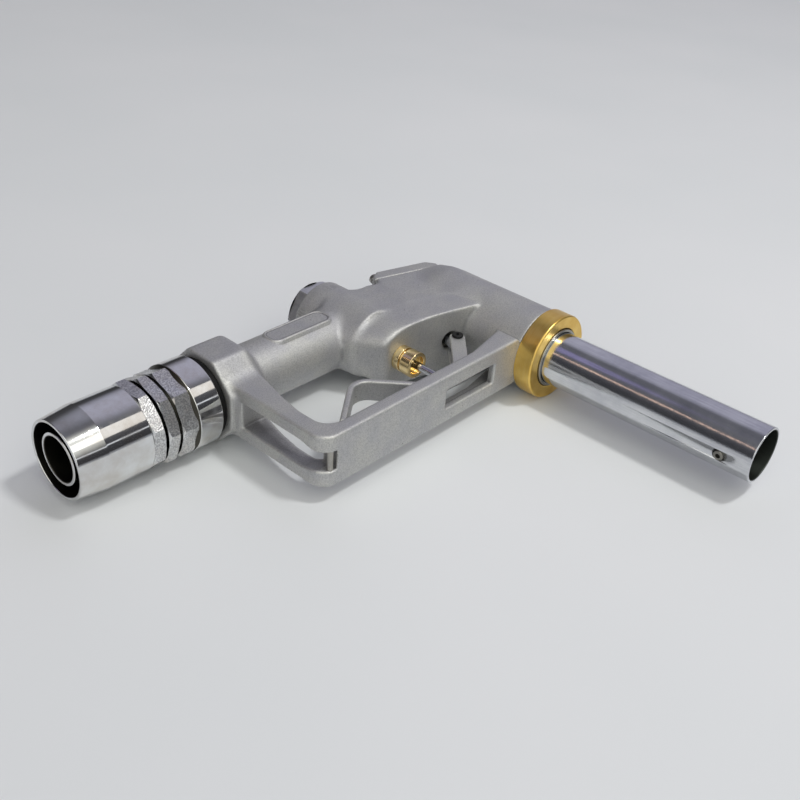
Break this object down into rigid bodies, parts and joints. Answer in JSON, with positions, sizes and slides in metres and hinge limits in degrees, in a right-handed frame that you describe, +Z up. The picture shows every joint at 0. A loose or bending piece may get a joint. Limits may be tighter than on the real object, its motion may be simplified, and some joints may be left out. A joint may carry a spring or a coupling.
{
  "type": "fuel nozzle",
  "caption": "Automatic fuel nozzle lying on its side: cast body with grip and guard, bent lever, hose ferrule with swivel, gold spout nut and straight spout.",
  "frame": {"origin": "on the surface it lies on, under the middle of its box", "axes": "+X along the grip from the hose mouth towards the nose, +Y from the spout towards the valve cap, +Z up; the plane of symmetry lies level"},
  "size_m": [0.3298, 0.3026, 0.0585],
  "materials": {
    "cast_aluminium": "bead blasted casting, satin",
    "bright_plate": "bright plated, polished",
    "gold_anodised": "gold anodised, satin turned",
    "brass": "turned, bright",
    "zinc_plate": "bright zinc plate",
    "steel": "ground steel",
    "spring_steel": "spring wire",
    "black_rubber": "matt black rubber",
    "black_steel": "black oxide"
  },
  "bodies": {
    "nozzle": {"nozzle_body": "cast_aluminium", "diaphragm_cover": "cast_aluminium", "valve_cap": "cast_aluminium", "inlet_adaptor": "bright_plate", "spout_collar": "bright_plate", "spout_nut": "gold_anodised", "gland_nut": "brass", "valve_seat": "brass", "plunger_guide": "brass", "check_seat": "brass", "check_spider": "brass", "spout_tube": "zinc_plate", "sensing_port": "zinc_plate", "sensing_tube": "zinc_plate", "guard_pin": "zinc_plate", "cover_screw_1": "zinc_plate", "cover_screw_2": "zinc_plate", "cover_screw_3": "zinc_plate", "cover_screw_4": "zinc_plate", "main_spring": "spring_steel", "plunger_spring": "spring_steel", "diaphragm_spring": "spring_steel", "check_spring": "spring_steel", "inlet_oring": "black_rubber", "swivel_oring": "black_rubber", "cap_oring": "black_rubber", "stem_packing": "black_rubber", "diaphragm": "black_rubber", "spout_oring": "black_rubber"},
    "plunger": {"latch_plunger": "steel", "lever_pin": "black_steel", "latch_ball_1": "steel", "latch_ball_2": "steel"},
    "lever": {"lever": "cast_aluminium"},
    "stem": {"valve_stem": "steel", "main_poppet": "brass", "poppet_seal": "black_rubber"},
    "latch": {"latch_pin": "steel"},
    "check": {"check_poppet": "brass"},
    "hose_end": {"hose_ferrule": "bright_plate", "hose_tail": "zinc_plate", "swivel_nut": "bright_plate"}
  },
  "joints": [
    {"name": "plunger_drop", "type": "slide", "parent": "nozzle", "child": "plunger", "axis": [-0.2588, -0.9659, 0], "range_m": [0, 0.005], "stiffness_N_per_m": 1200, "springref_m": -0.002, "deforming": ["plunger_spring"]},
    {"name": "lever_swing", "type": "hinge", "parent": "plunger", "child": "lever", "pos_m": [0.09707, 0.05145, 0.02925], "axis": [0, 0, -1], "range_deg": [0, 18], "stiffness_Nm_per_rad": 0.6, "springref_deg": -5.73},
    {"name": "stem_lift", "type": "slide", "parent": "nozzle", "child": "stem", "axis": [0, 1, 0], "range_m": [0, 0.0125], "stiffness_N_per_m": 300, "springref_m": -0.002, "deforming": ["main_spring"]},
    {"name": "latch_lift", "type": "slide", "parent": "nozzle", "child": "latch", "axis": [0.2588, 0.9659, 0], "range_m": [0, 0.003], "stiffness_N_per_m": 400, "springref_m": -0.001, "deforming": ["diaphragm_spring", "diaphragm"]},
    {"name": "check_open", "type": "slide", "parent": "nozzle", "child": "check", "axis": [0, -1, 0], "range_m": [0, 0.006], "stiffness_N_per_m": 200, "springref_m": -0.002, "deforming": ["check_spring"]},
    {"name": "hose_swivel", "type": "hinge", "parent": "nozzle", "child": "hose_end", "pos_m": [-0.16492, 0.11245, 0.02925], "axis": [1, 0, 0], "continuous": true}
  ],
  "couplings": [
    {"joint": "stem_lift", "follows": "lever_swing", "m_per_rad": 0.0385}
  ]
}
